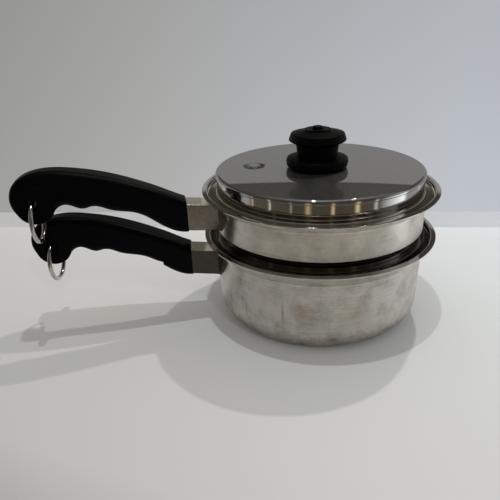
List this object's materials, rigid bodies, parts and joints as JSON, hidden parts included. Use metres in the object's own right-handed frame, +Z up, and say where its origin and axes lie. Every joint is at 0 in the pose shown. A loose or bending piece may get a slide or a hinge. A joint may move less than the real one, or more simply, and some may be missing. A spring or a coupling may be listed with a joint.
{
  "type": "double boiler",
  "caption": "Steel saucepan with a lift-out insert pan standing in its rim, a flat lid with a knob and steam valve, and black handles with hanging rings.",
  "frame": {"origin": "middle of the flat face that the lower pan rests on", "axes": "+Z up along the pans' axis, -X along the lower handle away from the pan, +Y to the far side"},
  "size_m": [0.3741, 0.216, 0.1771],
  "materials": {
    "brushed_steel": "circular brushed walls with polished rims, warm grey",
    "bright_steel": "polished",
    "polished_steel": "mirror polished, fine scratches",
    "bracket_steel": "satin",
    "black_phenolic": "satin black moulding",
    "brass_bush": "plain",
    "screw_steel": "plain",
    "ring_wire": "bright drawn wire"
  },
  "bodies": {
    "lower_pan_body": {"lower_pan": "brushed_steel", "lower_bracket": "bracket_steel", "lower_tang": "bracket_steel", "lower_handle": "black_phenolic", "lower_handle_screw": "screw_steel", "lower_lock_washer": "screw_steel"},
    "lower_ring_body": {"lower_hanging_ring": "ring_wire"},
    "insert_body": {"upper_pan": "brushed_steel", "insert_seat_ring": "bright_steel", "upper_bracket": "bracket_steel", "upper_tang": "bracket_steel", "upper_handle": "black_phenolic", "upper_handle_screw": "screw_steel", "upper_lock_washer": "screw_steel"},
    "upper_ring_body": {"upper_hanging_ring": "ring_wire"},
    "lid_body": {"lid_shell": "polished_steel", "knob_base": "black_phenolic", "knob_grip": "black_phenolic", "knob_plug": "black_phenolic", "knob_insert": "brass_bush", "knob_screw": "screw_steel", "knob_washer": "screw_steel"},
    "valve_body": {"valve_cap": "polished_steel", "valve_stem": "screw_steel", "valve_retainer": "screw_steel"}
  },
  "joints": [
    {"name": "insert_lift", "type": "slide", "parent": "lower_pan_body", "child": "insert_body", "axis": [0, 0, 1], "range_m": [0, 0.15]},
    {"name": "lid_lift", "type": "slide", "parent": "insert_body", "child": "lid_body", "axis": [0, 0, 1], "range_m": [0, 0.12]},
    {"name": "valve_lift", "type": "slide", "parent": "lid_body", "child": "valve_body", "axis": [0, 0, 1], "range_m": [0, 0.0012]},
    {"name": "lower_ring_swing", "type": "hinge", "parent": "lower_pan_body", "child": "lower_ring_body", "pos_m": [-0.24808, 0, 0.08321], "axis": [0, 1, 0], "range_deg": [-60, 125]},
    {"name": "upper_ring_swing", "type": "hinge", "parent": "insert_body", "child": "upper_ring_body", "pos_m": [-0.24817, -0.0274, 0.13307], "axis": [-0.1097, 0.994, 0], "range_deg": [-60, 125]}
  ]
}
